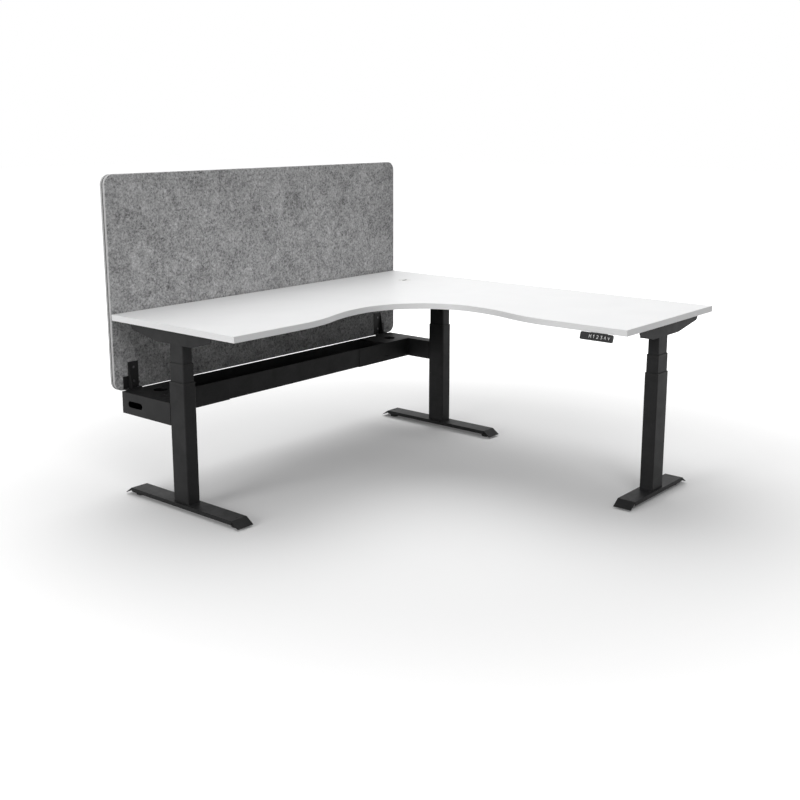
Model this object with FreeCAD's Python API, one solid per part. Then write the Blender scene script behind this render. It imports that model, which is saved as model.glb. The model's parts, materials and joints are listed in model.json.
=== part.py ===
import FreeCAD, Part
import math
import os

# Height-adjustable corner desk, in millimetres.
# The model is drawn from the top's outer corner on the floor: the left wing runs along -X, the right
# wing along -Y and the screen stands behind the left wing. Each node is moved to the middle of the
# desk's footprint when it is written.

Vector = FreeCAD.Vector
X_AXIS = Vector(1, 0, 0)
Y_AXIS = Vector(0, 1, 0)
Z_AXIS = Vector(0, 0, 1)

# Shared clearances, and how nearly an edge lies along an axis to count as parallel to it
cut_overrun = 2.0
fit_gap = 0.3
parallel_share = 0.999

# Desktop
top_length = 1800.0
wing_depth = 750.0
top_thickness = 25.0
top_height = 770.0
band_thickness = 2.0
straight_edge_length = 360.0
sweep_offset = 73.0
recess_radius = 334.0

# Cable grommet in the desktop
grommet_from_side = 250.0
grommet_from_back = 280.0
grommet_radius = 30.0
grommet_flange = 4.0
grommet_flange_height = 2.0
grommet_depth = 20.0
grommet_wall = 3.0
grommet_ledge = 2.5
grommet_ledge_height = 2.0
cap_thickness = 4.0
cap_slot_length = 34.0
cap_slot_width = 12.0

# Telescopic columns
leg_width = 60.0
leg_depth = 92.0
tube_wall = 2.0
stage_gap = 1.0
tube_corner = 5.0
leg_inset = 17.0
corner_leg_inset = 60.0
right_leg_inset = 27.0
leg_from_back = 380.0
stage_exposed = 76.5
base_plate = 6.0
middle_floor_gap = 80.0
inner_floor_gap = 84.0
guide_lip = 10.0
guide_depth = 30.0

# Feet
foot_width = 80.0
foot_top = 35.0
foot_plate = 3.0
foot_length = 628.0
short_foot_length = 420.0
foot_rearward = 1.0
flap_reach = 38.0
flap_drop = 26.0
flange_drop = 14.0
foot_screw_across = 18.0
foot_screw_along = 30.0

# Levelling glides and their weld nuts
glide_radius = 21.5
glide_height = 16.0
glide_chamfer = 2.0
glide_stem = 4.0
glide_from_end = 14.0
stem_below_top = 1.0
foot_nut_radius = 8.0
foot_nut_height = 8.0

# Side brackets under the top
bracket_front_length = 216.0
bracket_rear_length = 276.0
right_bracket_rear_length = 296.0
bracket_depth = 55.0
bracket_tip = 27.0
bracket_flat_front = 100.0
bracket_flat_rear = 120.0
bracket_wall = 2.5
bracket_plate = 3.0
bracket_tip_round = 10.0

# Lift motors inside the brackets
gearbox_across = 44.0
gearbox_along = 70.0
gearbox_height = 38.0
motor_radius = 17.0
motor_length = 58.0

# Rails under the top
rail_width = 25.0
rail_height = 30.0
rail_wall = 2.0
rail_spread = 80.0

# Control box
control_length = 240.0
control_width = 90.0
control_height = 40.0
control_round = 6.0
control_from_side = 900.0

# Cable tray and its end sections
beam_bottom = 353.0
beam_top = 445.0
beam_wall = 2.0
beam_rear = 20.0
beam_width = 175.0
end_length = 437.0
tray_overlap = 120.0
floor_lip = 15.0
cover_length = 240.0
cable_hole_radius = 30.0
cable_hole_in = 123.0
cable_hole_from_back = 120.0
lug_reach = 15.0
hand_slot_length = 94.0
hand_slot_height = 27.0
hand_slot_from_back = 106.0
hand_slot_rise = 44.0
front_slot_length = 36.0
front_slot_height = 3.0
front_slot_in = 233.0
front_slot_rise = 26.0

# Felt screen
screen_height = 900.0
screen_bottom = 439.5
screen_layer = 15.0
screen_gap = 4.0
screen_round = 42.0

# Screen brackets
stay_plate = 3.0
stay_in = 25.0
stay_width = 78.0
stay_low_height = 53.0
stay_high_height = 112.0
stay_high_width = 51.0
stay_foot = 26.0
stay_screw_low = 28.0
stay_screw_rise = 60.0
stay_foot_screw = 26.0

# Screws
screw_shank = 2.5
screw_head = 5.0
screw_head_height = 3.0
screw_length = 12.0
top_screw_margin = 18.0
tray_screw_margin = 50.0
tray_screw_spread = 40.0

# Handset under the right wing
handset_from_end = 58.0
handset_width = 143.0
handset_height = 29.5
handset_lean = 9.0
handset_proud = 5.0
handset_thickness = 11.0
handset_corner = 4.0
handset_mount_depth = 40.0
handset_mount_inset = 44.0
handset_mount_rise = 7.0
display_margin = 8.0
display_width = 22.0
display_height = 17.0
display_thickness = 1.0
key_first_distance = 45.5
key_pitch = 16.6
key_width = 13.0
key_height = 19.0
key_thickness = 3.0
key_proud = 0.8
key_travel = 1.0

quarter_turn_degrees = 90

key_names = ("memory", "one", "two", "three", "up", "down")

# Places that several pieces share
underside = top_height - top_thickness
bracket_bottom = underside - bracket_depth
middle_top = bracket_bottom - stage_exposed
outer_top = middle_top - stage_exposed
middle_bottom = foot_top + base_plate + middle_floor_gap
inner_bottom = middle_bottom + inner_floor_gap
stage_step = tube_wall + stage_gap
middle_width = leg_width - 2 * stage_step
middle_depth = leg_depth - 2 * stage_step
inner_width = middle_width - 2 * stage_step
inner_depth = middle_depth - 2 * stage_step
left_face = leg_inset - top_length
right_face = right_leg_inset - top_length
beam_front = beam_rear + beam_width
screen_reach = screen_gap + 2 * screen_layer
handset_angle = math.degrees(math.atan2(handset_lean, handset_height))
face_length = math.hypot(handset_lean, handset_height)

# Each leg has its axis, its turn about Z, the flat length of its foot, its bracket's reach to the rear and
# the side of the bracket, along the leg's own X, that faces out of the desk.
legs = {
    "left": (
        Vector(left_face + leg_width / 2, -leg_from_back, 0), 0, foot_length, bracket_rear_length, -1
    ),
    "corner": (
        Vector(-corner_leg_inset - leg_width / 2, -leg_from_back, 0), 0, foot_length, bracket_rear_length, 1
    ),
    "right": (
        Vector(-leg_from_back, right_face + leg_width / 2, 0),
        -quarter_turn_degrees,
        short_foot_length,
        right_bracket_rear_length,
        1,
    ),
}


def box(x0, x1, y0, y1, z0, z1):
    return Part.makeBox(x1 - x0, y1 - y0, z1 - z0, Vector(x0, y0, z0))


def cylinder(radius, base, height, axis=Z_AXIS):
    return Part.makeCylinder(radius, height, base, axis)


def prism(points, sweep):
    return Part.Face(Part.makePolygon(points + points[:1])).extrude(sweep)


def upright_edges(shape):
    return [edge for edge in shape.Edges if abs(edge.tangentAt(edge.FirstParameter).z) > parallel_share]


def rounded_bar(across, along, radius, z0, z1):
    bar = box(-across / 2, across / 2, -along / 2, along / 2, z0, z1)
    return bar.makeFillet(radius, upright_edges(bar))


def tube(across, along, radius, wall, z0, z1):
    low = z0 - cut_overrun
    high = z1 + cut_overrun
    hole = rounded_bar(across - 2 * wall, along - 2 * wall, radius - wall, low, high)
    return rounded_bar(across, along, radius, z0, z1).cut(hole)


def screw(base, axis):
    """A pan-head screw: base is where the head meets the plate and axis points along the shank."""
    head = cylinder(screw_head, base - axis * screw_head_height, screw_head_height, axis)
    return head.fuse(cylinder(screw_shank, base, screw_length, axis))


def screw_hole(base, axis):
    return cylinder(screw_shank, base - axis * cut_overrun, screw_length + cut_overrun, axis)


def slot_along_x(length, width, centre, depth, axis):
    """A round-ended slot with its length along X, cut from centre along axis (Y or Z)."""
    side = axis.cross(X_AXIS)
    half_run = X_AXIS * (length - width) / 2
    corners = [
        centre - half_run - side * width / 2,
        centre + half_run - side * width / 2,
        centre + half_run + side * width / 2,
        centre - half_run + side * width / 2,
    ]
    middle = prism(corners, axis * depth)
    first_end = cylinder(width / 2, centre - half_run, depth, axis)
    last_end = cylinder(width / 2, centre + half_run, depth, axis)
    return middle.multiFuse([first_end, last_end])


def place_leg(shape, leg):
    axis, turn = legs[leg][:2]
    placed = shape.copy()
    placed.rotate(Vector(0, 0, 0), Z_AXIS, turn)
    placed.translate(axis)
    return placed


def at_both_ends(shapes):
    return [place_end(shape, side) for side in ("left", "right") for shape in shapes]


def place_end(shape, side):
    """Moves a piece drawn inwards from the beam's outer face, at x = 0, to one end of the beam."""
    if side == "left":
        placed = shape.copy()
        placed.translate(X_AXIS * left_face)
        return placed
    placed = shape.mirror(Vector(0, 0, 0), X_AXIS)
    placed.translate(X_AXIS * -corner_leg_inset)
    return placed


# Desktop, edge band and grommet


def front_edge():
    """The left wing's front edge from its end to the middle of the recess, as lines and tangent arcs."""
    start = Vector(straight_edge_length - top_length, -wing_depth, 0)
    sweep_end_x = sweep_offset - wing_depth - recess_radius
    end = Vector(sweep_end_x, sweep_offset - wing_depth, 0)
    run = end.x - start.x
    radius = (run ** 2 + sweep_offset ** 2) / (4 * sweep_offset)
    half_turn = math.asin(run / 2 / radius) / 2
    sag = radius * (1 - math.cos(half_turn))
    reach = radius * math.sin(half_turn)
    middle = (start + end) / 2
    recess_centre = Vector(sweep_end_x, sweep_end_x, 0)
    diagonal = recess_centre + Vector(1, 1, 0).normalize() * recess_radius
    eighth = math.pi / 8
    recess_middle = recess_centre + Vector(math.sin(eighth), math.cos(eighth), 0) * recess_radius
    return [
        Part.LineSegment(Vector(-top_length, -wing_depth, 0), start),
        Part.Arc(start, start + Vector(reach, sag, 0), middle),
        Part.Arc(middle, end - Vector(reach, sag, 0), end),
        Part.Arc(end, recess_middle, diagonal),
    ]


def top_outline():
    """The L-shaped outline: the front edge, the same edge across the diagonal, and the straight sides."""
    left = [curve.toShape() for curve in front_edge()]
    right = [edge.mirror(Vector(0, 0, 0), Vector(1, -1, 0)) for edge in left]
    corners = [
        Vector(-wing_depth, -top_length, 0),
        Vector(0, -top_length, 0),
        Vector(0, 0, 0),
        Vector(-top_length, 0, 0),
        Vector(-top_length, -wing_depth, 0),
    ]
    sides = [Part.LineSegment(a, b).toShape() for a, b in zip(corners, corners[1:])]
    return Part.Wire(Part.__sortEdges__(left + right + sides))


def slab(wire):
    plate = Part.Face(wire).extrude(Z_AXIS * top_thickness)
    plate.translate(Z_AXIS * underside)
    return plate


grommet_centre = Vector(-grommet_from_side, -grommet_from_back, 0)


def grommet_disc(radius, z0, z1):
    return cylinder(radius, grommet_centre + Z_AXIS * z0, z1 - z0)


def make_desktop():
    board = slab(top_outline().makeOffset2D(-band_thickness))
    hole = grommet_disc(grommet_radius, underside - cut_overrun, top_height + cut_overrun)
    rebate = grommet_disc(
        grommet_radius + grommet_flange, top_height - grommet_flange_height, top_height + cut_overrun
    )
    return board.cut([hole, rebate] + top_screw_holes())


def make_edge_band():
    outline = top_outline()
    return slab(outline).cut(slab(outline.makeOffset2D(-band_thickness)))


def make_grommet_sleeve():
    """A sleeve whose flange lies flush in the board's rebate, with a ledge inside that carries the cap."""
    flange_bottom = top_height - grommet_flange_height
    flange = grommet_disc(grommet_radius + grommet_flange, flange_bottom, top_height)
    body = flange.fuse(grommet_disc(grommet_radius, top_height - grommet_depth, flange_bottom))
    inside = grommet_radius - grommet_wall
    ledge_top = top_height - cap_thickness - fit_gap
    ledge_bottom = ledge_top - grommet_ledge_height
    seat = grommet_disc(inside, ledge_top, top_height + cut_overrun)
    throat = grommet_disc(inside - grommet_ledge, ledge_bottom - cut_overrun, ledge_top + cut_overrun)
    well = grommet_disc(inside, top_height - grommet_depth - cut_overrun, ledge_bottom)
    return body.cut(seat.multiFuse([throat, well]))


def make_grommet_cap():
    cap = grommet_disc(grommet_radius - grommet_wall - fit_gap, top_height - cap_thickness, top_height)
    start = grommet_centre + Z_AXIS * (top_height - cap_thickness - cut_overrun)
    depth = cap_thickness + 2 * cut_overrun
    return cap.cut(slot_along_x(cap_slot_length, cap_slot_width, start, depth, Z_AXIS))


# Columns and feet, drawn about the leg's own axis with the foot along Y


def foot_screw_places():
    return [
        Vector(across, along, foot_top - foot_plate)
        for across in (-foot_screw_across, foot_screw_across)
        for along in (-foot_screw_along, foot_screw_along)
    ]


def glide_places(flat):
    reach = flat / 2 - glide_from_end
    return [Vector(0, foot_rearward - reach, 0), Vector(0, foot_rearward + reach, 0)]


def make_foot(flat):
    """A pressed plate with both ends folded down as sloping flaps and a flange along each side."""
    half = flat / 2
    slope = math.hypot(flap_reach, flap_drop)
    flap_shift = foot_plate * slope / flap_drop
    fold_shift = foot_plate * (slope - flap_reach) / flap_drop
    low = foot_top - flap_drop
    under = foot_top - foot_plate
    outer = [(-half - flap_reach, low), (-half, foot_top), (half, foot_top), (half + flap_reach, low)]
    inner = [
        (half + flap_reach - flap_shift, low),
        (half - fold_shift, under),
        (fold_shift - half, under),
        (flap_shift - half - flap_reach, low),
    ]
    points = [Vector(-foot_width / 2, foot_rearward + y, z) for y, z in outer + inner]
    plate = prism(points, X_AXIS * foot_width)
    edge = foot_width / 2
    inside = half - fold_shift
    flanges = [
        box(x0, x0 + foot_plate, foot_rearward - inside, foot_rearward + inside, under - flange_drop, under)
        for x0 in (-edge, edge - foot_plate)
    ]
    holes = [screw_hole(place, Z_AXIS) for place in foot_screw_places()]
    for place in glide_places(flat):
        holes.append(cylinder(glide_stem + fit_gap, place, foot_top + cut_overrun))
    return plate.multiFuse(flanges).removeSplitter().cut(holes)


def make_foot_nut(place):
    top = foot_top - foot_plate
    bottom = top - foot_nut_height
    corners = [
        place + Vector(math.cos(turn), math.sin(turn), 0) * foot_nut_radius + Z_AXIS * bottom
        for turn in [index * math.pi / 3 for index in range(6)]
    ]
    bore = cylinder(glide_stem + fit_gap, place, foot_top)
    return prism(corners, Z_AXIS * foot_nut_height).cut(bore)


def make_glide(place):
    pad = cylinder(glide_radius, place, glide_height)
    pad = pad.makeChamfer(glide_chamfer, [edge for edge in pad.Edges if edge.Closed])
    stem = cylinder(glide_stem, place + Z_AXIS * glide_height, foot_top - stem_below_top - glide_height)
    return pad.fuse(stem)


def make_outer_tube():
    shell = tube(leg_width, leg_depth, tube_corner, tube_wall, foot_top, outer_top - guide_lip)
    inside_radius = tube_corner - tube_wall
    across = leg_width - 2 * tube_wall
    along = leg_depth - 2 * tube_wall
    plate = rounded_bar(across, along, inside_radius, foot_top, foot_top + base_plate)
    holes = [screw_hole(place, Z_AXIS) for place in foot_screw_places()]
    return shell.fuse(plate).removeSplitter().cut(holes)


def make_guide(across, along, radius, stage_top):
    """A plastic collar: a lip on the tube's end and a sleeve in the gap around the next stage."""
    tube_top = stage_top - guide_lip
    lip = rounded_bar(across, along, radius, tube_top, stage_top)
    inside = tube_wall
    sleeve = rounded_bar(
        across - 2 * inside, along - 2 * inside, radius - inside, tube_top - guide_depth, tube_top
    )
    open_wall = stage_step - fit_gap
    opening = rounded_bar(
        across - 2 * open_wall,
        along - 2 * open_wall,
        tube_corner - tube_wall,
        tube_top - guide_depth - cut_overrun,
        stage_top + cut_overrun,
    )
    return lip.fuse(sleeve).removeSplitter().cut(opening)


def make_middle_tube():
    return tube(middle_width, middle_depth, tube_corner, tube_wall, middle_bottom, middle_top - guide_lip)


def make_inner_tube():
    return tube(inner_width, inner_depth, tube_corner, tube_wall, inner_bottom, bracket_bottom)


# Brackets, motors, rails and control box under the top


def bracket_profile(x, front, rear):
    """The web's side outline: deep over the column, tapered to low tips with a rounded lower corner."""
    tip = underside - bracket_tip
    return [
        Vector(x, -front, underside),
        Vector(x, -front, tip + bracket_tip_round),
        Vector(x, bracket_tip_round - front, tip),
        Vector(x, -bracket_flat_front, bracket_bottom),
        Vector(x, bracket_flat_rear, bracket_bottom),
        Vector(x, rear - bracket_tip_round, tip),
        Vector(x, rear, tip + bracket_tip_round),
        Vector(x, rear, underside),
    ]


def bracket_screw_places(rear):
    level = underside - bracket_plate
    return [
        Vector(0, along, level)
        for along in (
            top_screw_margin - bracket_front_length,
            -bracket_flat_front - top_screw_margin,
            bracket_flat_rear + top_screw_margin,
            rear - top_screw_margin,
        )
    ]


def make_side_bracket(rear, outer_side):
    """A channel whose outer web runs to both tips; the inner web starts where the bottom is flat."""
    edge = leg_width / 2
    webs = []
    for x0, side in ((-edge, -1), (edge - bracket_wall, 1)):
        front = bracket_front_length if side == outer_side else bracket_flat_front + bracket_tip_round
        webs.append(prism(bracket_profile(x0, front, rear), X_AXIS * bracket_wall))
    top = box(-edge, edge, -bracket_front_length, rear, underside - bracket_plate, underside)
    seat_top = bracket_bottom + bracket_plate
    seat = box(-edge, edge, -bracket_flat_front, bracket_flat_rear, bracket_bottom, seat_top)
    holes = [screw_hole(place, Z_AXIS) for place in bracket_screw_places(rear)]
    return top.multiFuse(webs + [seat]).removeSplitter().cut(holes)


def top_screw_places():
    places = []
    for leg, (_, _, _, rear, _) in legs.items():
        places += [(leg, place) for place in bracket_screw_places(rear)]
    return places


def top_screw_holes():
    return [place_leg(screw_hole(place, Z_AXIS), leg) for leg, place in top_screw_places()]


def make_top_screws():
    return [place_leg(screw(place, Z_AXIS), leg) for leg, place in top_screw_places()]


def make_motor():
    floor = bracket_bottom + bracket_plate
    half_across = gearbox_across / 2
    half_along = gearbox_along / 2
    gearbox = box(-half_across, half_across, -half_along, half_along, floor, floor + gearbox_height)
    start = Vector(0, -half_along, floor + gearbox_height / 2)
    return gearbox.fuse(cylinder(motor_radius, start, motor_length, Y_AXIS * -1))


def hollow_rail(x0, x1, y0, y1, along):
    rail = box(x0, x1, y0, y1, underside - rail_height, underside)
    z0 = underside - rail_height + rail_wall
    z1 = underside - rail_wall
    if along == "x":
        return rail.cut(box(x0 - cut_overrun, x1 + cut_overrun, y0 + rail_wall, y1 - rail_wall, z0, z1))
    return rail.cut(box(x0 + rail_wall, x1 - rail_wall, y0 - cut_overrun, y1 + cut_overrun, z0, z1))


def make_crossrail(shift):
    """A rail from the left bracket to the corner bracket, shifted along Y from the columns."""
    x0 = left_face + leg_width
    x1 = -corner_leg_inset - leg_width
    y0 = shift - leg_from_back - rail_width / 2
    return hollow_rail(x0, x1, y0, y0 + rail_width, "x")


def make_wing_rail(shift):
    """A rail from the right bracket to the front crossrail, shifted along X from the right column."""
    x0 = shift - leg_from_back - rail_width / 2
    y0 = right_face + leg_width
    y1 = -leg_from_back - rail_spread - rail_width / 2
    return hollow_rail(x0, x0 + rail_width, y0, y1, "y")


def make_control_box():
    body = box(
        -control_from_side - control_length / 2,
        -control_from_side + control_length / 2,
        -leg_from_back - control_width / 2,
        -leg_from_back + control_width / 2,
        underside - control_height,
        underside,
    )
    return body.makeFillet(control_round, upright_edges(body))


# Cable tray, drawn for one end from the beam's outer face at x = 0


def make_beam_end():
    column_back = -leg_from_back + leg_depth / 2
    channel = box(0, end_length, -beam_front, -beam_rear, beam_bottom, beam_top)
    arm = box(0, leg_width, column_back, -beam_front, beam_bottom, beam_top)
    floor = beam_bottom + beam_wall
    roof = beam_top - beam_wall
    open_end = end_length + cut_overrun
    front = -beam_front + beam_wall
    rear = -beam_rear - beam_wall
    hollow = box(beam_wall, open_end, front, rear, floor, roof)
    open_top = box(cover_length, open_end, front, rear, floor, beam_top + cut_overrun)
    below = beam_bottom - cut_overrun
    open_floor = box(cover_length, end_length - tray_overlap - floor_lip, front, rear, below, roof)
    arm_hollow = box(beam_wall, leg_width - beam_wall, column_back + beam_wall, front, below, roof)
    lug = box(stay_in, stay_in + stay_width, -beam_rear, lug_reach - beam_rear, roof, beam_top)
    shell = channel.fuse(arm).cut(hollow.multiFuse([open_top, open_floor, arm_hollow]))
    shell = shell.fuse(lug).removeSplitter()
    hole_base = Vector(cable_hole_in, -cable_hole_from_back, roof - cut_overrun)
    cable_hole = cylinder(cable_hole_radius, hole_base, beam_wall + 2 * cut_overrun)
    return shell.cut([cable_hole, hand_slot(), front_slot()] + end_screw_holes())


def hand_slot():
    """The round-ended slot through the end plate, with its length along Y."""
    depth = beam_wall + 2 * cut_overrun
    slot = slot_along_x(hand_slot_length, hand_slot_height, Vector(0, 0, 0), depth, Y_AXIS)
    slot.rotate(Vector(0, 0, 0), Z_AXIS, -quarter_turn_degrees)
    slot.translate(Vector(-cut_overrun, -hand_slot_from_back, beam_bottom + hand_slot_rise))
    return slot


def front_slot():
    centre = Vector(front_slot_in, -beam_front - cut_overrun, beam_bottom + front_slot_rise)
    return slot_along_x(front_slot_length, front_slot_height, centre, beam_wall + 2 * cut_overrun, Y_AXIS)


def tray_screw_places():
    middle = -beam_rear - beam_width / 2
    return [
        Vector(end_length - tray_screw_margin, middle + shift, beam_bottom)
        for shift in (-tray_screw_spread, tray_screw_spread)
    ]


def end_screw_holes():
    return [screw_hole(place, Z_AXIS) for place in tray_screw_places()] + [
        screw_hole(place, Z_AXIS * -1) for place in stay_foot_screw_places()
    ]


def make_cable_tray():
    """The open-topped channel that slides into both end sections."""
    x0 = left_face + end_length - tray_overlap
    x1 = tray_overlap - corner_leg_inset - end_length
    front = -beam_front + beam_wall
    rear = -beam_rear - beam_wall
    floor = beam_bottom + beam_wall
    channel = box(x0, x1, front, rear, floor, beam_top)
    hollow = box(
        x0 - cut_overrun,
        x1 + cut_overrun,
        front + beam_wall,
        rear - beam_wall,
        floor + beam_wall,
        beam_top + cut_overrun,
    )
    holes = [screw_hole(place, Z_AXIS) for place in tray_screw_places()]
    return channel.cut([hollow] + at_both_ends(holes))


def make_tray_screws():
    return at_both_ends([screw(place, Z_AXIS) for place in tray_screw_places()])


# Felt screen and its brackets


def make_screen_panel(front):
    panel = box(-top_length, 0, front, front + screen_layer, screen_bottom, screen_bottom + screen_height)
    corners = [edge for edge in panel.Edges if abs(edge.tangentAt(edge.FirstParameter).y) > parallel_share]
    panel = panel.makeFillet(screen_round, corners)
    return panel.cut(at_both_ends([screw_hole(place, Y_AXIS) for place in stay_screw_places()]))


def stay_screw_places():
    x = stay_in + stay_width - stay_high_width / 2
    low = beam_top + stay_screw_low
    return [Vector(x, screen_gap - stay_plate, z) for z in (low, low + stay_screw_rise)]


def stay_foot_screw_places():
    middle = stay_in + stay_width / 2
    y = -beam_rear + lug_reach / 2
    level = beam_top + stay_plate
    return [Vector(middle + shift, y, level) for shift in (-stay_foot_screw, stay_foot_screw)]


def make_screen_bracket():
    """A stepped plate against the screen, a foot on the beam's lug and a gusset between them."""
    back = screen_gap
    front = back - stay_plate
    x0 = stay_in
    x1 = stay_in + stay_width
    step = x1 - stay_high_width
    low = beam_top + stay_low_height
    high = beam_top + stay_high_height
    outline = [(x0, beam_top), (x1, beam_top), (x1, high), (step, high), (step, low), (x0, low)]
    plate = prism([Vector(x, front, z) for x, z in outline], Y_AXIS * stay_plate)
    heel = back - stay_foot
    foot = box(x0, x1, heel, front, beam_top, beam_top + stay_plate)
    gusset_outline = [(heel, beam_top), (front, beam_top), (front, high)]
    gusset = prism([Vector(step, y, z) for y, z in gusset_outline], X_AXIS * stay_plate)
    holes = [screw_hole(place, Y_AXIS) for place in stay_screw_places()]
    holes += [screw_hole(place, Z_AXIS * -1) for place in stay_foot_screw_places()]
    return plate.multiFuse([foot, gusset]).removeSplitter().cut(holes)


def make_screen_screws():
    into_felt = [screw(place, Y_AXIS) for place in stay_screw_places()]
    into_lug = [screw(place, Z_AXIS * -1) for place in stay_foot_screw_places()]
    return at_both_ends(into_felt + into_lug)


# Handset, with its sloping face drawn upright at x = 0 and then leant back


def on_face(shape):
    """Moves a piece drawn on the plane x = 0, y from the face's left end and z up it, to the face."""
    placed = shape.copy()
    placed.rotate(Vector(0, 0, 0), Y_AXIS, handset_angle)
    left_end = handset_from_end + handset_width - top_length
    foot = Vector(-wing_depth - handset_proud - handset_lean, left_end, underside - handset_height)
    placed.translate(foot)
    return placed


def key_centre(index):
    return Vector(0, -key_first_distance - index * key_pitch, face_length / 2)


def face_block(centre, width, height, depth, rise):
    """A block set into the face: depth goes inwards from it and rise stands out of it."""
    return box(
        centre.x - rise,
        centre.x + depth,
        centre.y - width / 2,
        centre.y + width / 2,
        centre.z - height / 2,
        centre.z + height / 2,
    )


def make_key(index):
    depth = key_thickness - key_proud
    return on_face(face_block(key_centre(index), key_width, key_height, depth, key_proud))


def display_block(rise):
    centre = Vector(0, -display_margin - display_width / 2, face_length / 2)
    return on_face(face_block(centre, display_width, display_height, display_thickness, rise))


def make_handset_case():
    """The thin case behind the face, with its four corners cut off."""
    across = [0, handset_corner, handset_width - handset_corner, handset_width]
    upward = [0, handset_corner, face_length - handset_corner, face_length]
    outline = [
        (across[1], upward[0]),
        (across[2], upward[0]),
        (across[3], upward[1]),
        (across[3], upward[2]),
        (across[2], upward[3]),
        (across[1], upward[3]),
        (across[0], upward[2]),
        (across[0], upward[1]),
    ]
    return on_face(prism([Vector(0, -y, z) for y, z in outline], X_AXIS * handset_thickness))


def make_handset_mount():
    """The wedge behind the middle of the case, which carries it under the top."""
    top_front = -wing_depth - handset_proud
    rear = top_front + handset_mount_depth
    low = underside - handset_height
    right_end = handset_from_end + handset_mount_inset - top_length
    side = [
        (top_front, underside),
        (top_front - handset_lean, low),
        (rear, low + handset_mount_rise),
        (rear, underside),
    ]
    width = handset_width - 2 * handset_mount_inset
    return prism([Vector(x, right_end, z) for x, z in side], Y_AXIS * width)


def make_handset_housing():
    pocket_depth = key_thickness - key_proud + key_travel + fit_gap
    pockets = [display_block(cut_overrun)]
    for index in range(len(key_names)):
        width = key_width + 2 * fit_gap
        height = key_height + 2 * fit_gap
        pockets.append(on_face(face_block(key_centre(index), width, height, pocket_depth, cut_overrun)))
    return make_handset_case().fuse(make_handset_mount()).removeSplitter().cut(pockets)


# Writing the nodes


def write(node, shapes):
    """Moves a node, one solid or a group of solids, to the footprint's middle and saves it."""
    shape = Part.makeCompound(shapes) if isinstance(shapes, list) else shapes.copy()
    shape.translate(Vector(top_length / 2, (top_length - screen_reach) / 2, 0))
    shape.exportStep("parts/" + node + ".step")


def write_legs():
    outer_guide = make_guide(leg_width, leg_depth, tube_corner, outer_top)
    middle_guide = make_guide(middle_width, middle_depth, tube_corner, middle_top)
    shared = {
        "outer_tube": make_outer_tube(),
        "outer_guide": outer_guide,
        "middle_tube": make_middle_tube(),
        "middle_guide": middle_guide,
        "inner_tube": make_inner_tube(),
        "lift_motor": make_motor(),
    }
    nuts = []
    screws = []
    for leg, (_, _, flat, rear, outer_side) in legs.items():
        for name, shape in shared.items():
            write(name + "_" + leg, place_leg(shape, leg))
        write("side_bracket_" + leg, place_leg(make_side_bracket(rear, outer_side), leg))
        write("foot_" + leg, place_leg(make_foot(flat), leg))
        for end, place in zip(("front", "rear"), glide_places(flat)):
            write("glide_" + leg + "_" + end, place_leg(make_glide(place), leg))
            nuts.append(place_leg(make_foot_nut(place), leg))
        screws += [place_leg(screw(place, Z_AXIS), leg) for place in foot_screw_places()]
    write("foot_nuts", nuts)
    write("foot_screws", screws)


def write_top():
    write("desktop", make_desktop())
    write("edge_band", make_edge_band())
    write("grommet_sleeve", make_grommet_sleeve())
    write("grommet_cap", make_grommet_cap())
    write("top_screws", make_top_screws())
    write("crossrail_front", make_crossrail(-rail_spread))
    write("crossrail_rear", make_crossrail(rail_spread))
    write("wing_rail_inner", make_wing_rail(-rail_spread))
    write("wing_rail_outer", make_wing_rail(rail_spread))
    write("control_box", make_control_box())
    write("handset_housing", make_handset_housing())
    write("handset_display", display_block(0))
    for index, name in enumerate(key_names):
        write("key_" + name, make_key(index))


def write_beam():
    for side in ("left", "right"):
        write("beam_end_" + side, place_end(make_beam_end(), side))
        write("screen_bracket_" + side, place_end(make_screen_bracket(), side))
    write("cable_tray", make_cable_tray())
    write("tray_screws", make_tray_screws())
    write("screen_front_panel", make_screen_panel(screen_gap))
    write("screen_back_panel", make_screen_panel(screen_gap + screen_layer))
    write("screen_screws", make_screen_screws())


os.makedirs("parts", exist_ok=True)
write_legs()
write_top()
write_beam()
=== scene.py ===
import bpy
import json
import math
import numpy as np
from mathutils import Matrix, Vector


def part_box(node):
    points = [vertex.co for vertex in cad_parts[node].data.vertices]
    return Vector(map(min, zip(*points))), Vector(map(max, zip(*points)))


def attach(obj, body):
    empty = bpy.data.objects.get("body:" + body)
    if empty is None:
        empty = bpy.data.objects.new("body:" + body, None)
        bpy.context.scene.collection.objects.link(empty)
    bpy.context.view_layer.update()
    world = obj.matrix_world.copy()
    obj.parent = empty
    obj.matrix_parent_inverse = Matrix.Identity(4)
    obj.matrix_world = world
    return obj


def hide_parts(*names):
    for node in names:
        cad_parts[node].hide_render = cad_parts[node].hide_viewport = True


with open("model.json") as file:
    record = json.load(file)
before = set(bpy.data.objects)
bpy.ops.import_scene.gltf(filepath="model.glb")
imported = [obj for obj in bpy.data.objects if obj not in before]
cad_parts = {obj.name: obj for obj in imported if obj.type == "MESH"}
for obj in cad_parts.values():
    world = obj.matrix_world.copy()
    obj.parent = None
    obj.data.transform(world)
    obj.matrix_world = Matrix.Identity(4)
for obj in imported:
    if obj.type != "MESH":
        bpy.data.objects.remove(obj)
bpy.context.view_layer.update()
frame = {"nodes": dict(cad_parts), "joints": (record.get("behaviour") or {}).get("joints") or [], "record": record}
nodes = frame["nodes"]
press_axes = {joint["child"]: Vector(joint["axis"]) for joint in frame["joints"]}

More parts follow.
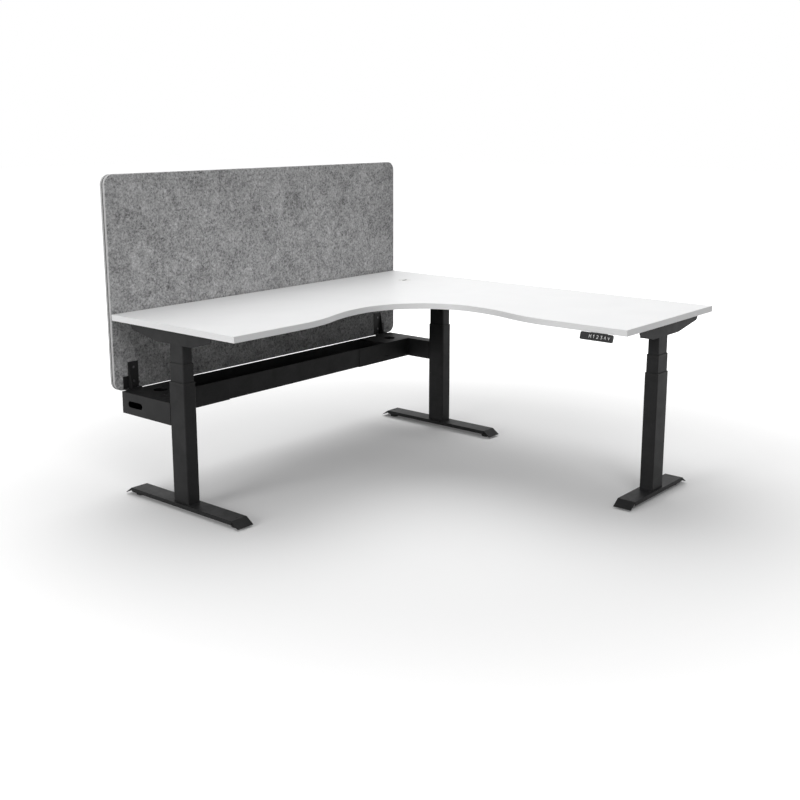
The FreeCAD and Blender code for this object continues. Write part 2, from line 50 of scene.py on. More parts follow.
# Camera, in metres and degrees, solved from the edges of the top; the picture's own values are in pixels
PICTURE_SIZE = 800
FOCAL_PIXELS = 1110.88
PICTURE_AXIS_ROW = 354.46
SENSOR_WIDTH_MM = 36.0
CAMERA_PLACE = (-3.59124, -2.92702, 1.55516)
CAMERA_PITCH = 11.93
CAMERA_HEADING = 49.99
CAMERA_REACH = 200.0

# Felt panels, in metres; the ripple's waves are in radians per metre
FELT_EDGE_ROUND = 0.0034
FELT_CORNER = 0.042
# Half the width of the painted shade along the seam between the two panels, in metres
FELT_SEAM_SHADE_HALF = 0.0034
FELT_OUTLINE_STEP = 0.03
FELT_CORNER_POINTS = 13
FELT_EDGE_POINTS = 7
FELT_FACE_RINGS = 24
FELT_FIRST_RING = 0.06
FELT_RIPPLE = 0.00035
FELT_WAVE_ALONG = 9.0
FELT_WAVE_UP = 11.0
FELT_PHASE_ALONG = 1.3
FELT_PHASE_UP = 0.4
FELT_FRONT_SHADE = 1.03
FELT_BACK_SHADE = 0.96

# Handset print, in metres; the keys stand in a row along -Y
KEY_THICKNESS = 0.003
KEY_ROW = Vector((0.0, -1.0, 0.0))
PRINT_RISE = 0.00012
PRINT_STROKE = 0.0017
GLYPH_WIDTH = 0.0085
GLYPH_HEIGHT = 0.0120
MITRE_LIMIT = 0.35

# Wear and dust that the coated and moulded finishes share; depths are in metres
BEVEL_SAMPLES = 4
EDGE_SPREAD = 4.0
EDGE_WEAR = 0.6
RUB_LEAST = 0.25
RUBBED_GAIN = 1.6
RUBBED_LIFT = 0.008
DUST_LIFT = 0.012
DUST_COVER = 0.3
DUST_DULLING = 0.05
GLOSS_SPREAD = 0.06
CLOUD_DARK = 0.3
CLOUD_LIGHT = 0.7
GRAIN_STRENGTH = 0.5
GRAIN_DEPTH = 0.00006

# Stage: the floor glows a little to the camera near the desk and turns white further out
FLOOR_SIZE = 60.0
FLOOR_TONE = 0.875
FLOOR_BOUNCE_TONE = 0.32
FLOOR_GLOW = 0.06
FLOOR_FAR_GLOW = 0.85
FLOOR_FADE_START = 1.2
FLOOR_FADE_END = 4.0
WORLD_LIGHT = 0.25

# Lamps: name, place, the point it faces, width in metres and power in watts
LAMPS = (
    ("overhead_softbox", (2.2, 1.6, 6.6), (0.2, 0.1, 0.2), 7.0, 190.0),
    ("back_softbox", (1.0, 3.2, 6.5), (0.0, 0.0, 0.3), 7.0, 165.0),
    ("left_softbox", (-6.0, 0.5, 1.9), (0.0, 0.0, 0.7), 2.4, 112.0),
    ("front_softbox", (-3.4, -4.5, 5.2), (0.0, 0.0, 0.7), 4.0, 132.0),
)


# Node helpers


def opaque(colour):
    return (*colour, 1.0)


def grey(tone):
    return (tone, tone, tone, 1.0)


def feed(tree, socket, value):
    """Links a value that comes from a node, and sets any other on the socket itself."""
    if isinstance(value, bpy.types.NodeSocket):
        tree.links.new(value, socket)
    else:
        socket.default_value = value


def fill(tree, node, **inputs):
    """Feeds a node's named inputs; an underscore stands for the space in a name."""
    for name, value in inputs.items():
        feed(tree, node.inputs[name.replace("_", " ")], value)


def put(tree, kind, **inputs):
    node = tree.nodes.new(kind)
    fill(tree, node, **inputs)
    return node


def object_place(tree):
    return tree.nodes.new("ShaderNodeTexCoord").outputs["Object"]


def face_normal(tree):
    return tree.nodes.new("ShaderNodeNewGeometry").outputs["Normal"]


def ramp(tree, factor, stops):
    """A colour ramp through (position, grey tone or colour) stops; gives its colour output."""
    node = tree.nodes.new("ShaderNodeValToRGB")
    elements = node.color_ramp.elements
    while len(elements) < len(stops):
        elements.new(0.5)
    for element, (position, colour) in zip(elements, stops):
        element.position = position
        element.color = opaque(colour) if isinstance(colour, tuple) else grey(colour)
    tree.links.new(factor, node.inputs["Fac"])
    return node.outputs["Color"]


def noise(tree, vector, scale, detail=3.0, roughness=0.55, distortion=0.0):
    node = put(tree, "ShaderNodeTexNoise", Vector=vector, Scale=scale, Detail=detail, Roughness=roughness,
               Distortion=distortion)
    return node.outputs["Fac"]


def stretched(tree, vector, turn, stretch):
    """Turns object coordinates about Y and squeezes them, so that a noise runs in streaks."""
    rotation = (0.0, math.radians(turn), 0.0)
    return put(tree, "ShaderNodeMapping", Vector=vector, Rotation=rotation, Scale=stretch).outputs["Vector"]


def arithmetic(tree, operation, *values):
    node = tree.nodes.new("ShaderNodeMath")
    node.operation = operation
    for socket, value in zip(node.inputs, values):
        feed(tree, socket, value)
    return node.outputs["Value"]


def times(tree, first, second):
    return arithmetic(tree, "MULTIPLY", first, second)


def plus(tree, first, second):
    return arithmetic(tree, "ADD", first, second)


def weighted_sum(tree, parts):
    """Adds up (value, weight) pairs."""
    total = None
    for value, weight in parts:
        share = times(tree, value, weight)
        total = share if total is None else plus(tree, total, share)
    return total


def vector_measure(tree, operation, *vectors):
    """A number worked out from vectors, such as a length or a dot product."""
    node = tree.nodes.new("ShaderNodeVectorMath")
    node.operation = operation
    for socket, vector in zip(node.inputs, vectors):
        tree.links.new(vector, socket)
    return node.outputs["Value"]


def size_along(tree, vector, axis):
    """A vector's part along one axis, without its sign."""
    parts = put(tree, "ShaderNodeSeparateXYZ", Vector=vector).outputs
    return arithmetic(tree, "ABSOLUTE", parts[axis])


def blend_colours(tree, factor, first, second):
    node = tree.nodes.new("ShaderNodeMix")
    node.data_type = "RGBA"
    for name, value in (("Factor", factor), ("A", first), ("B", second)):
        socket = [entry for entry in node.inputs if entry.name == name and entry.enabled][0]
        feed(tree, socket, value)
    return [entry for entry in node.outputs if entry.enabled][0]


def bump(tree, height, strength, depth, **start):
    """A normal that follows a height in metres; start may give the Normal that it bends."""
    node = put(tree, "ShaderNodeBump", Height=height, Strength=strength, Distance=depth, **start)
    return node.outputs["Normal"]


def start_group(name, inputs, outputs):
    """A shader node group with float inputs (name, default) and outputs (name, socket type)."""
    tree = bpy.data.node_groups.new(name, "ShaderNodeTree")
    for label, default in inputs:
        socket = tree.interface.new_socket(name=label, in_out="INPUT", socket_type="NodeSocketFloat")
        socket.default_value = default
    for label, kind in outputs:
        tree.interface.new_socket(name=label, in_out="OUTPUT", socket_type=kind)
    return tree, tree.nodes.new("NodeGroupInput").outputs, tree.nodes.new("NodeGroupOutput").inputs


def use_group(tree, group, **inputs):
    node = tree.nodes.new("ShaderNodeGroup")
    node.node_tree = group
    fill(tree, node, **inputs)
    return node.outputs


def start_material(name):
    material = bpy.data.materials.new(name)
    material.use_nodes = True
    tree = material.node_tree
    return material, tree, tree.nodes["Principled BSDF"]


# Effects that several finishes share


def make_soft_edges():
    """Rounded edges: a bevelled normal, and a mask that is 1 where it leaves the flat one."""
    tree, given, result = start_group(
        "soft_edges", [("Radius", 0.001)], [("Normal", "NodeSocketVector"), ("Edge", "NodeSocketFloat")]
    )
    bevel = put(tree, "ShaderNodeBevel", Radius=given["Radius"])
    bevel.samples = BEVEL_SAMPLES
    rounded = bevel.outputs["Normal"]
    likeness = vector_measure(tree, "DOT_PRODUCT", rounded, face_normal(tree))
    spread = times(tree, arithmetic(tree, "SUBTRACT", 1.0, likeness), EDGE_SPREAD)
    tree.links.new(rounded, result["Normal"])
    tree.links.new(arithmetic(tree, "MINIMUM", spread, 1.0), result["Edge"])
    return tree


def make_fine_grain():
    """Moulded or sprayed grain: small rounded bumps over a slow cloudy unevenness."""
    tree, given, result = start_group(
        "fine_grain",
        [("Grain scale", 900.0), ("Cloud scale", 14.0)],
        [("Height", "NodeSocketFloat"), ("Cloud", "NodeSocketFloat")],
    )
    place = object_place(tree)
    grain = noise(tree, place, given["Grain scale"], detail=2.0, roughness=0.5)
    cloud = noise(tree, place, given["Cloud scale"], detail=5.0, roughness=0.6, distortion=0.4)
    tree.links.new(grain, result["Height"])
    tree.links.new(cloud, result["Cloud"])
    return tree


def make_handling_marks():
    """Faint wiped dust and rubbed patches: broad clouds broken by long fine streaks."""
    tree, given, result = start_group(
        "handling_marks", [("Scale", 6.0)], [("Dust", "NodeSocketFloat"), ("Rub", "NodeSocketFloat")]
    )
    place = object_place(tree)
    broad = noise(tree, place, given["Scale"], detail=6.0, roughness=0.62, distortion=0.8)
    streak_place = stretched(tree, place, turn=28.0, stretch=(160.0, 9.0, 60.0))
    streaks = noise(tree, streak_place, scale=1.0, detail=3.0, roughness=0.6)
    dust = ramp(tree, times(tree, broad, streaks), [(0.2, 0.0), (0.42, 1.0)])
    rub = ramp(tree, broad, [(0.45, 0.0), (0.7, 1.0)])
    tree.links.new(dust, result["Dust"])
    tree.links.new(rub, result["Rub"])
    return tree


def make_felt_fibres():
    """Pressed marled felt: clumps and three layers of crossed strands over slow mottling, dark flecks where
    the mottling is dark, and single pale hairs."""
    tree, given, result = start_group(
        "felt_fibres",
        [("Clump scale", 105.0), ("Strand scale", 430.0)],
        [("Tone", "NodeSocketFloat"), ("Height", "NodeSocketFloat"), ("Dark fleck", "NodeSocketFloat"),
         ("Pale hair", "NodeSocketFloat")],
    )
    place = object_place(tree)
    clumps = noise(tree, place, given["Clump scale"], detail=3.0, roughness=0.65, distortion=0.6)
    mottle = noise(tree, place, scale=24.0, detail=3.0, roughness=0.6, distortion=1.2)
    patches = noise(tree, place, scale=6.5, detail=2.0, roughness=0.5, distortion=0.8)
    fine = noise(tree, place, scale=1500.0, detail=2.0, roughness=0.6)
    layers = []
    for turn, reach in ((24.0, 0.22), (83.0, 0.18), (142.0, 0.26)):
        strand_place = stretched(tree, place, turn, (1.0, 1.0, reach))
        layer = noise(tree, strand_place, given["Strand scale"], detail=3.0, roughness=0.7, distortion=0.9)
        layers.append(layer)
    strands = weighted_sum(tree, [(layer, 1.0 / len(layers)) for layer in layers])
    tone_parts = [(clumps, 0.36), (strands, 0.28), (mottle, 0.19), (patches, 0.09), (fine, 0.08)]
    height_parts = [(strands, 1.0), (clumps, 0.6), (fine, 0.4)]
    specks = noise(tree, place, scale=120.0, detail=1.0, roughness=0.5)
    flecks = ramp(tree, specks, [(0.64, 0.0), (0.72, 1.0)])
    in_dark = ramp(tree, mottle, [(0.42, 1.0), (0.58, 0.12)])
    hair_place = stretched(tree, place, turn=55.0, stretch=(1.0, 1.0, 0.1))
    threads = noise(tree, hair_place, scale=520.0, detail=1.0, distortion=1.5)
    hairs = ramp(tree, threads, [(0.66, 0.0), (0.73, 1.0)])
    tree.links.new(weighted_sum(tree, tone_parts), result["Tone"])
    tree.links.new(weighted_sum(tree, height_parts), result["Height"])
    tree.links.new(times(tree, flecks, in_dark), result["Dark fleck"])
    tree.links.new(hairs, result["Pale hair"])
    return tree


def make_felt_painted_light_masks():
    """Masks for painted light: one that is 1 on a panel's cut edge and 0 on its faces, placing a painted
    highlight; and one that is 1 along the seam between the panels, at y = Seam, placing painted shade.
    """
    tree, given, result = start_group(
        "felt_painted_light_masks", [("Seam", 0.0)], [("Lit rim", "NodeSocketFloat"), ("Shaded groove", "NodeSocketFloat")]
    )
    facing = size_along(tree, face_normal(tree), "Y")
    depth = put(tree, "ShaderNodeSeparateXYZ", Vector=object_place(tree)).outputs["Y"]
    off_seam = arithmetic(tree, "ABSOLUTE", arithmetic(tree, "SUBTRACT", depth, given["Seam"]))
    near_seam = arithmetic(tree, "DIVIDE", off_seam, FELT_SEAM_SHADE_HALF)
    tree.links.new(ramp(tree, facing, [(0.55, 1.0), (0.95, 0.0)]), result["Lit rim"])
    tree.links.new(ramp(tree, near_seam, [(0.55, 1.0), (1.0, 0.0)]), result["Shaded groove"])
    return tree


soft_edges = make_soft_edges()
fine_grain = make_fine_grain()
handling_marks = make_handling_marks()
felt_fibres = make_felt_fibres()
felt_painted_light_masks = make_felt_painted_light_masks()


# Finishes


def clouded(tree, grain, dark, light):
    """A base colour that drifts between a dark and a light tone."""
    return ramp(tree, grain["Cloud"], [(CLOUD_DARK, dark), (CLOUD_LIGHT, light)])


def sprayed_finish(name, dark, light, grain_scale, edge_radius, roughness, shine=0.5,
                   grain_depth=GRAIN_DEPTH):
    """A coated or moulded finish: base tone clouded between dark and light, paler where edges are rubbed."""
    material, tree, surface = start_material(name)
    edges = use_group(tree, soft_edges, Radius=edge_radius)
    grain = use_group(tree, fine_grain, Grain_scale=grain_scale)
    marks = use_group(tree, handling_marks)
    rubbed = tuple(channel * RUBBED_GAIN + RUBBED_LIFT for channel in light)
    dusty = tuple(channel + DUST_LIFT for channel in light)
    worn = times(tree, edges["Edge"], plus(tree, marks["Rub"], RUB_LEAST))
    colour = clouded(tree, grain, dark, light)
    colour = blend_colours(tree, times(tree, worn, EDGE_WEAR), colour, opaque(rubbed))
    colour = blend_colours(tree, times(tree, marks["Dust"], DUST_COVER), colour, opaque(dusty))
    gloss = ramp(tree, grain["Cloud"], [(0.25, roughness + GLOSS_SPREAD), (0.75, roughness - GLOSS_SPREAD)])
    gloss = plus(tree, gloss, times(tree, marks["Dust"], DUST_DULLING))
    normal = bump(tree, grain["Height"], GRAIN_STRENGTH, grain_depth, Normal=edges["Normal"])
    fill(tree, surface, Base_Color=colour, Roughness=gloss, Normal=normal, Specular_IOR_Level=shine)
    return material


def make_powder_coat():
    return sprayed_finish(
        "black_powder_coat", dark=(0.009, 0.009, 0.0093), light=(0.0155, 0.0155, 0.016), grain_scale=1150.0,
        edge_radius=0.0011, roughness=0.5, shine=0.175, grain_depth=0.00009,
    )


def make_guide_plastic():
    return sprayed_finish(
        "guide_plastic", dark=(0.009, 0.009, 0.009), light=(0.015, 0.015, 0.015), grain_scale=1700.0,
        edge_radius=0.0006, roughness=0.5, shine=0.2,
    )


def make_glide_plastic():
    return sprayed_finish(
        "glide_plastic", dark=(0.010, 0.010, 0.010), light=(0.017, 0.017, 0.0165), grain_scale=1300.0,
        edge_radius=0.0012, roughness=0.58, shine=0.25,
    )


def make_black_plastic():
    return sprayed_finish(
        "handset_plastic", dark=(0.008, 0.008, 0.0085), light=(0.014, 0.014, 0.0145), grain_scale=2600.0,
        edge_radius=0.0008, roughness=0.45, shine=0.3,
    )


def make_key_plastic():
    return sprayed_finish(
        "key_plastic", dark=(0.008, 0.008, 0.0085), light=(0.013, 0.013, 0.0135), grain_scale=3600.0,
        edge_radius=0.0006, roughness=0.5, shine=0.3,
    )


def make_motor_case():
    return sprayed_finish(
        "motor_case", dark=(0.045, 0.046, 0.05), light=(0.075, 0.076, 0.08), grain_scale=900.0,
        edge_radius=0.0012, roughness=0.45,
    )


def make_white_plastic():
    """Moulded white plastic with fine grain, and painted shade on all its vertical walls that stands in for the
    shade inside the slot.
    """
    # Painted shade: a near-black grey laid over the vertical walls
    painted_wall_shade = grey(0.03)
    material, tree, surface = start_material("grommet_plastic")
    edges = use_group(tree, soft_edges, Radius=0.0009)
    grain = use_group(tree, fine_grain, Grain_scale=2400.0)
    upright_shade_mask = ramp(tree, size_along(tree, face_normal(tree), "Z"), [(0.3, 0.92), (0.6, 0.0)])
    colour = clouded(tree, grain, dark=(0.76, 0.76, 0.75), light=(0.81, 0.81, 0.80))
    # Blends in the painted shade wherever a wall stands vertical
    colour = blend_colours(tree, upright_shade_mask, colour, painted_wall_shade)
    gloss = ramp(tree, grain["Cloud"], [(0.25, 0.48), (0.75, 0.36)])
    normal = bump(tree, grain["Height"], GRAIN_STRENGTH, GRAIN_DEPTH, Normal=edges["Normal"])
    fill(tree, surface, Base_Color=colour, Roughness=gloss, Normal=normal)
    return material


def make_fastener():
    """Black zinc screws and nuts: fine uneven gloss, brighter on worn edges."""
    worn = grey(0.2)
    material, tree, surface = start_material("black_zinc")
    edges = use_group(tree, soft_edges, Radius=0.0004)
    grain = use_group(tree, fine_grain, Grain_scale=3200.0)
    colour = clouded(tree, grain, dark=(0.05, 0.05, 0.052), light=(0.09, 0.09, 0.095))
    colour = blend_colours(tree, edges["Edge"], colour, worn)
    tarnish = noise(tree, object_place(tree), scale=1400.0, detail=2.0)
    gloss = ramp(tree, tarnish, [(0.3, 0.26), (0.7, 0.42)])
    normal = bump(tree, grain["Height"], strength=0.3, depth=0.00003, Normal=edges["Normal"])
    fill(tree, surface, Base_Color=colour, Metallic=0.85, Roughness=gloss, Normal=normal)
    return material


def make_board_face():
    """White melamine: a fine pebbled press grain, soft rubbed patches and a hardly uneven white."""
    rubbed = (0.82, 0.82, 0.816)
    rub_share = 0.12
    roughness = 0.42
    rub_dulling = 0.03
    material, tree, surface = start_material("white_melamine")
    edges = use_group(tree, soft_edges, Radius=0.0006)
    grain = use_group(tree, fine_grain, Grain_scale=1500.0, Cloud_scale=5.0)
    marks = use_group(tree, handling_marks, Scale=3.0)
    colour = clouded(tree, grain, dark=(0.845, 0.848, 0.852), light=(0.872, 0.874, 0.876))
    colour = blend_colours(tree, times(tree, marks["Rub"], rub_share), colour, opaque(rubbed))
    gloss = plus(tree, times(tree, marks["Rub"], rub_dulling), roughness)
    pebbles = noise(tree, object_place(tree), scale=700.0, detail=3.0, roughness=0.5)
    normal = bump(tree, pebbles, strength=0.05, depth=0.00005, Normal=edges["Normal"])
    fill(tree, surface, Base_Color=colour, Roughness=gloss, Normal=normal, Specular_IOR_Level=0.3)
    return material


def make_edge_band():
    """White plastic edge strip: shallow upright scraper chatter and a slightly cooler, smoother white."""
    rubbed = grey(0.93)
    rub_share = 0.35
    material, tree, surface = start_material("white_edge_strip")
    edges = use_group(tree, soft_edges, Radius=0.0013)
    grain = use_group(tree, fine_grain, Grain_scale=2100.0, Cloud_scale=9.0)
    chatter_place = stretched(tree, object_place(tree), turn=0.0, stretch=(420.0, 420.0, 6.0))
    chatter = noise(tree, chatter_place, scale=1.0, detail=2.0)
    colour = clouded(tree, grain, dark=(0.90, 0.902, 0.904), light=(0.92, 0.921, 0.922))
    colour = blend_colours(tree, times(tree, edges["Edge"], rub_share), colour, rubbed)
    gloss = ramp(tree, chatter, [(0.3, 0.30), (0.7, 0.42)])
    normal = bump(tree, chatter, strength=0.2, depth=0.00008, Normal=edges["Normal"])
    fill(tree, surface, Base_Color=colour, Roughness=gloss, Normal=normal)
    return material


def make_felt(name, shade, seam):
    """Marled grey felt: light and dark fibres pressed together, with a hair of sheen, a painted highlight that
    makes the cut rim paler, and painted shade that darkens the seam between the two panels."""
    tones = [(0.37, 0.092), (0.44, 0.22), (0.50, 0.38), (0.56, 0.54), (0.64, 0.75)]
    blue_gain = 1.01
    pale_hair = (0.56 * shade, 0.56 * shade, 0.55 * shade)
    dark_fleck = (0.06 * shade, 0.06 * shade, 0.062 * shade)
    # Painted highlight: the panel's rim, where the face turns away from Y, is lightened to a pale grey
    painted_rim_highlight = grey(0.66)
    # Painted shade: a near-black band along the seam where the two panels meet
    painted_groove_shade = grey(0.03)
    hair_share = 0.4
    fleck_share = 0.7
    rim_highlight_share = 0.7
    groove_shade_share = 0.92
    material, tree, surface = start_material(name)
    fibres = use_group(tree, felt_fibres)
    rim = use_group(tree, felt_painted_light_masks, Seam=seam)
    stops = [(position, (tone * shade, tone * shade, tone * shade * blue_gain)) for position, tone in tones]
    colour = ramp(tree, fibres["Tone"], stops)
    colour = blend_colours(tree, times(tree, fibres["Pale hair"], hair_share), colour, opaque(pale_hair))
    colour = blend_colours(tree, times(tree, fibres["Dark fleck"], fleck_share), colour, opaque(dark_fleck))
    # Painted highlight on the rim, then painted shade along the seam
    colour = blend_colours(tree, times(tree, rim["Lit rim"], rim_highlight_share), colour, painted_rim_highlight)
    colour = blend_colours(tree, times(tree, rim["Shaded groove"], groove_shade_share), colour, painted_groove_shade)
    gloss = ramp(tree, fibres["Tone"], [(0.3, 0.96), (0.7, 0.84)])
    normal = bump(tree, fibres["Height"], strength=0.5, depth=0.0007)
    fill(tree, surface, Base_Color=colour, Roughness=gloss, Normal=normal)
    fill(tree, surface, Specular_IOR_Level=0.12, Sheen_Weight=0.06, Sheen_Roughness=0.6)
    return material


def make_display_glass():
    """A dark glossy window with faint finger smears."""
    material, tree, surface = start_material("display_window")
    edges = use_group(tree, soft_edges, Radius=0.0004)
    marks = use_group(tree, handling_marks, Scale=60.0)
    colour = ramp(tree, marks["Rub"], [(0.0, (0.004, 0.004, 0.005)), (1.0, (0.008, 0.008, 0.009))])
    gloss = ramp(tree, marks["Dust"], [(0.0, 0.07), (1.0, 0.22)])
    fill(tree, surface, Base_Color=colour, Roughness=gloss, Normal=edges["Normal"])
    return material


def make_key_print():
    """White screen print, a little thin in places."""
    material, tree, surface = start_material("key_print")
    wear = noise(tree, object_place(tree), scale=1800.0, detail=3.0)
    colour = ramp(tree, wear, [(0.3, 0.70), (0.6, 0.84)])
    gloss = ramp(tree, wear, [(0.3, 0.62), (0.7, 0.5)])
    fill(tree, surface, Base_Color=colour, Roughness=gloss)
    return material


# Surfaces


def ring_faces(rings, columns):
    """Quads between the neighbouring rings of a grid of points, each ring closed on itself."""
    ring, column = np.meshgrid(np.arange(rings - 1), np.arange(columns), indexing="ij")
    following = (column + 1) % columns
    here = ring * columns
    beyond = here + columns
    corners = [here + column, beyond + column, beyond + following, here + following]
    return np.stack(corners, -1).reshape(-1, 4)


def pole_fans(rings, columns):
    """Triangles from the first and last ring of a grid to the two poles that follow the grid's points."""
    start = np.arange(columns)
    end = (start + 1) % columns
    last = (rings - 1) * columns
    front_pole = np.full(columns, rings * columns)
    front = np.stack([front_pole, start, end], -1)
    back = np.stack([last + start, front_pole + 1, last + end], -1)
    return np.concatenate([front, back])


def add_piece(name, points, faces, body, material, smooth=True):
    mesh = bpy.data.meshes.new(name)
    mesh.from_pydata(points.reshape(-1, 3).tolist(), [], faces)
    mesh.polygons.foreach_set("use_smooth", np.full(len(mesh.polygons), smooth))
    mesh.materials.append(material)
    mesh.update()
    piece = bpy.data.objects.new(name, mesh)
    bpy.context.scene.collection.objects.link(piece)
    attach(piece, body)
    return piece


def rounded_rectangle(low, high, radius, per_corner):
    """The outline of a rectangle with quarter-circle corners, anticlockwise, as (u, v) points."""
    corners = np.array([[high[0], high[1]], [low[0], high[1]], [low[0], low[1]], [high[0], low[1]]])
    inward = np.array([[-1, -1], [1, -1], [1, 1], [-1, 1]])
    centres = corners + inward * radius
    turn = np.linspace(0.0, math.pi / 2, per_corner)
    angles = turn[None, :] + np.arange(4)[:, None] * math.pi / 2
    arcs = centres[:, None, :] + radius * np.stack([np.cos(angles), np.sin(angles)], -1)
    return arcs.reshape(-1, 2)


def densify(outline, step):
    """Splits each straight run of a closed outline into equal parts no longer than step."""
    runs = np.roll(outline, -1, axis=0) - outline
    counts = np.maximum(np.ceil(np.linalg.norm(runs, axis=1) / step), 1).astype(int)
    firsts = np.cumsum(counts) - counts
    shares = (np.arange(counts.sum()) - np.repeat(firsts, counts)) / np.repeat(counts, counts)
    return np.repeat(outline, counts, axis=0) + np.repeat(runs, counts, axis=0) * shares[:, None]


def felt_ripple(x, z):
    """How far a face lies below its flat: a product of slow sines, from 0 to FELT_RIPPLE."""
    along = np.sin(x * FELT_WAVE_ALONG + FELT_PHASE_ALONG)
    up = np.sin(z * FELT_WAVE_UP + FELT_PHASE_UP)
    return (0.5 + 0.5 * along * up) * FELT_RIPPLE


def felt_panel_points(low, high):
    """A pillow-edged sheet. Ring t of the grid is the outline drawn in by d(t) and lying at depth y(t):
    the front face shrinks towards its middle, the edge is two quarter circles of FELT_EDGE_ROUND joined by
    a flat, and the back face shrinks again. A pole closes each face, and both faces are rippled."""
    outline = rounded_rectangle((low.x, low.z), (high.x, high.z), FELT_CORNER, FELT_CORNER_POINTS)
    outline = densify(outline, FELT_OUTLINE_STEP)
    middle = np.array([(low.x + high.x) / 2, (low.z + high.z) / 2])
    reach = outline - middle
    outward = reach / np.linalg.norm(reach, axis=1)[:, None]
    shares = np.linspace(FELT_FIRST_RING, 1.0, FELT_FACE_RINGS)[:-1]
    face = middle + (reach - outward * FELT_EDGE_ROUND)[None] * shares[:, None, None]
    arc = np.linspace(0.0, math.pi / 2, FELT_EDGE_POINTS)
    rim_in = FELT_EDGE_ROUND * (1.0 - np.sin(arc))
    rim_depth = FELT_EDGE_ROUND * (1.0 - np.cos(arc))
    rim = outline[None] - outward[None] * rim_in[:, None, None]
    flat_rings = np.concatenate([face, rim, rim[::-1], face[::-1]])
    front_depth = np.full(len(face), low.y)
    back_depth = np.full(len(face), high.y)
    depths = np.concatenate([front_depth, low.y + rim_depth, high.y - rim_depth[::-1], back_depth])
    sinking = np.concatenate([np.ones(len(face)), np.zeros(2 * len(arc)), -np.ones(len(face))])
    x = flat_rings[..., 0]
    z = flat_rings[..., 1]
    rings = np.stack([x, depths[:, None] + felt_ripple(x, z) * sinking[:, None], z], -1)
    sunk = felt_ripple(*middle)
    poles = np.array([[middle[0], low.y + sunk, middle[1]], [middle[0], high.y - sunk, middle[1]]])
    return rings, poles


def add_felt_panel(node, material):
    low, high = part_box(node)
    rings, poles = felt_panel_points(low, high)
    grid = rings.shape[:2]
    faces = ring_faces(*grid).tolist() + pole_fans(*grid).tolist()
    points = np.concatenate([rings.reshape(-1, 3), poles])
    piece = add_piece("felt_" + node, points, faces, "base", material)
    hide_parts(node)


def arc_shares(centre, radius, start, end, count):
    """Points of an arc in shares of the glyph's box, from start to end in degrees."""
    angles = np.radians(np.linspace(start, end, count))
    circle = np.stack([np.cos(angles), np.sin(angles)], -1)
    return (np.array(centre) + np.array(radius) * circle).tolist()


# Each glyph is one stroke, written in shares of the glyph's width and height from its lower left corner
BOW_OF_TWO = arc_shares(centre=(0.5, 0.72), radius=(0.42, 0.28), start=165, end=-38, count=9)
BOWL_OF_THREE = arc_shares(centre=(0.48, 0.3), radius=(0.44, 0.3), start=60, end=-150, count=9)
GLYPH_SHARES = {
    "key_memory": [(0.0, 0.0), (0.0, 1.0), (0.5, 0.42), (1.0, 1.0), (1.0, 0.0)],
    "key_one": [(0.22, 0.76), (0.55, 1.0), (0.55, 0.0)],
    "key_two": BOW_OF_TWO + [(0.06, 0.0), (0.96, 0.0)],
    "key_three": [(0.08, 1.0), (0.88, 1.0), (0.45, 0.6)] + BOWL_OF_THREE,
    "key_up": [(0.04, 0.1), (0.5, 0.9), (0.96, 0.1)],
    "key_down": [(0.04, 0.9), (0.5, 0.1), (0.96, 0.9)],
}


def stroke_sides(path):
    """Both edges of a flat stroke: each point moved along its mitred normal by half the stroke's width."""
    ahead = np.diff(path, axis=0)
    ahead /= np.linalg.norm(ahead, axis=1)[:, None]
    before = np.vstack([ahead[:1], ahead])
    after = np.vstack([ahead, ahead[-1:]])
    across_before = np.stack([-before[:, 1], before[:, 0]], -1)
    across_after = np.stack([-after[:, 1], after[:, 0]], -1)
    mitre = across_before + across_after
    mitre /= np.linalg.norm(mitre, axis=1)[:, None]
    reach = PRINT_STROKE / 2 / np.maximum(np.sum(mitre * across_after, axis=1), MITRE_LIMIT)
    return path + mitre * reach[:, None], path - mitre * reach[:, None]


def add_key_label(node, material):
    """A printed stroke: a low rectangular profile carried along the glyph's path on the key's face."""
    low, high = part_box(node)
    inward = press_axes[node]
    face = (low + high) / 2 - inward * KEY_THICKNESS / 2
    axes = np.array([KEY_ROW, KEY_ROW.cross(inward), -inward])
    path = (np.array(GLYPH_SHARES[node]) - 0.5) * np.array([GLYPH_WIDTH, GLYPH_HEIGHT])
    left, right = stroke_sides(path)
    profile = [(right, 0.0), (right, PRINT_RISE), (left, PRINT_RISE), (left, 0.0)]
    flat = np.stack([np.column_stack([side, np.full(len(side), rise)]) for side, rise in profile], axis=1)
    points = np.array(face) + flat @ axes
    walls = ring_faces(len(path), len(profile))
    start_cap = np.arange(len(profile))
    end_cap = len(path) * len(profile) - 1 - start_cap
    faces = np.vstack([walls, start_cap, end_cap]).tolist()
    add_piece("label_" + node, points, faces, node, material, smooth=False)


# Dressing the frame


def paint_nodes():
    """Gives each CAD node its slot's finish; the felt panels are replaced, so they have none here."""
    finishes = {
        "black_steel": make_powder_coat(),
        "white_board": make_board_face(),
        "edge_band": make_edge_band(),
        "guide_plastic": make_guide_plastic(),
        "glide_plastic": make_glide_plastic(),
        "fastener": make_fastener(),
        "motor_case": make_motor_case(),
        "white_plastic": make_white_plastic(),
        "black_plastic": make_black_plastic(),
        "display_window": make_display_glass(),
        "key_plastic": make_key_plastic(),
    }
    for entry in frame["record"]["subparts"]:
        finish = finishes.get(entry["material_slot"])
        if finish is not None:
            materials = nodes[entry["node"]].data.materials
            materials.clear()
            materials.append(finish)


def dress_screen():
    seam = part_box("screen_front_panel")[1].y
    front = make_felt("felt_front_sheet", FELT_FRONT_SHADE, seam)
    back = make_felt("felt_back_sheet", FELT_BACK_SHADE, seam)
    add_felt_panel("screen_front_panel", front)
    add_felt_panel("screen_back_panel", back)


def dress_handset():
    material = make_key_print()
    for node in GLYPH_SHARES:
        add_key_label(node, material)


# Stage, light and camera


